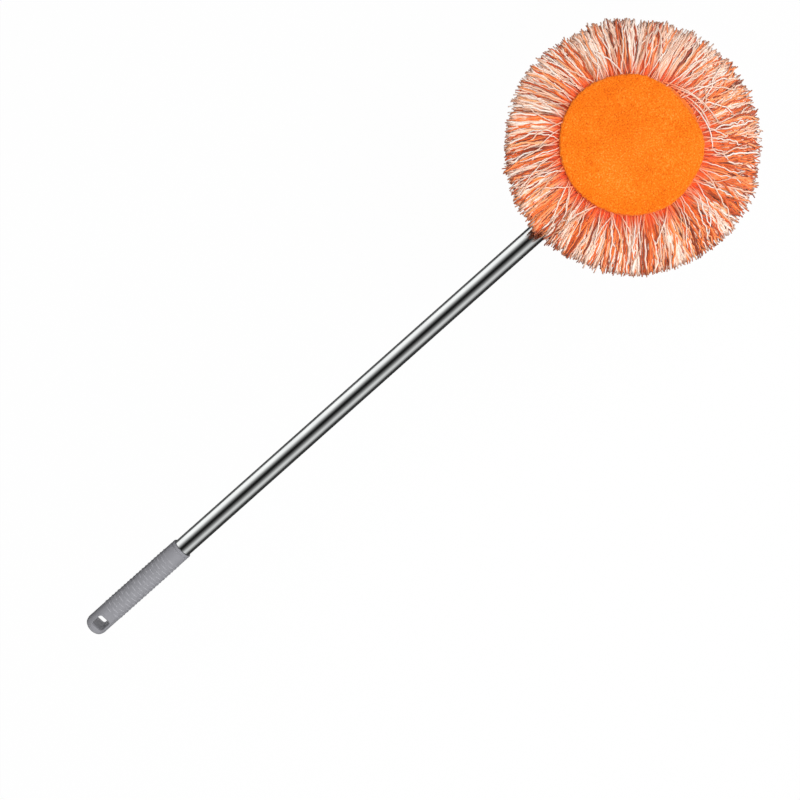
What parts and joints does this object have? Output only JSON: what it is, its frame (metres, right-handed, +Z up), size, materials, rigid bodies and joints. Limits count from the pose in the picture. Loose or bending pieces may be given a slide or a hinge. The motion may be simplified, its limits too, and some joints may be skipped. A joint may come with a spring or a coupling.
{
  "type": "telescopic ceiling mop",
  "caption": "Ceiling mop: round plush pad with a two-colour yarn fringe on a hinged plate, on a twist-lock telescopic tube with a moulded grip.",
  "frame": {"origin": "on the surface that the mop lies on, below the middle of its bounding box", "axes": "+X along the pole from the grip to the head, +Y across the pole, +Z up, out of the mop's face"},
  "size_m": [1.0852, 0.3298, 0.0686],
  "materials": {
    "grip_plastic": "moulded polypropylene, rows of fine ribs",
    "stainless_tube": "polished stainless steel",
    "dark_plastic": "moulded glass-filled nylon",
    "grey_plastic": "moulded ABS, fine texture",
    "acetal": "moulded acetal, waxy",
    "zinc_steel": "zinc-plated steel",
    "plate_plastic": "moulded polypropylene",
    "foam": "open-cell polyurethane foam",
    "orange_cloth": "woven polyester backing cloth",
    "orange_plush": "short microfibre plush",
    "orange_yarn": "twisted cotton-blend yarn",
    "white_yarn": "twisted cotton-blend yarn",
    "elastic": "braided elastic cord"
  },
  "bodies": {
    "handle": {"hand_grip": "grip_plastic", "outer_tube": "stainless_tube", "collet_sleeve": "dark_plastic"},
    "collar": {"lock_collar": "dark_plastic"},
    "slider": {"guide_bush": "acetal"},
    "rod": {"inner_tube": "stainless_tube", "pole_socket": "grey_plastic", "socket_screw": "zinc_steel"},
    "head": {"hinge_bolt": "zinc_steel", "hinge_nut": "zinc_steel", "friction_washer_1": "acetal", "friction_washer_2": "acetal", "hinge_bracket": "grey_plastic", "bracket_screw_1": "zinc_steel", "bracket_screw_2": "zinc_steel", "bracket_screw_3": "zinc_steel", "bracket_screw_4": "zinc_steel", "mop_plate": "plate_plastic", "foam_pad": "foam"},
    "cover": {"cover_base": "orange_cloth", "plush_pad": "orange_plush", "back_cuff": "orange_cloth", "elastic_cord": "elastic", "fringe_upper_orange": "orange_yarn", "fringe_upper_white": "white_yarn", "fringe_lower_left": "orange_yarn", "fringe_lower_right": "orange_yarn"}
  },
  "joints": [
    {"name": "collar_twist", "type": "hinge", "parent": "handle", "child": "collar", "pos_m": [0.26642, 0, 0.0165], "axis": [1, 0, 0], "range_deg": [0, 120]},
    {"name": "telescope", "type": "slide", "parent": "handle", "child": "slider", "axis": [1, 0, 0], "range_m": [0, 0.6]},
    {"name": "pole_swivel", "type": "hinge", "parent": "slider", "child": "rod", "pos_m": [0.37842, 0, 0.0165], "axis": [1, 0, 0], "continuous": true},
    {"name": "head_tilt", "type": "hinge", "parent": "rod", "child": "head", "pos_m": [0.37842, 0, 0.0165], "axis": [0, 1, 0], "range_deg": [0, 180]},
    {"name": "cover_lift", "type": "slide", "parent": "head", "child": "cover", "axis": [0, 0, 1], "range_m": [0, 0.06], "deforming": ["back_cuff", "elastic_cord"]}
  ]
}
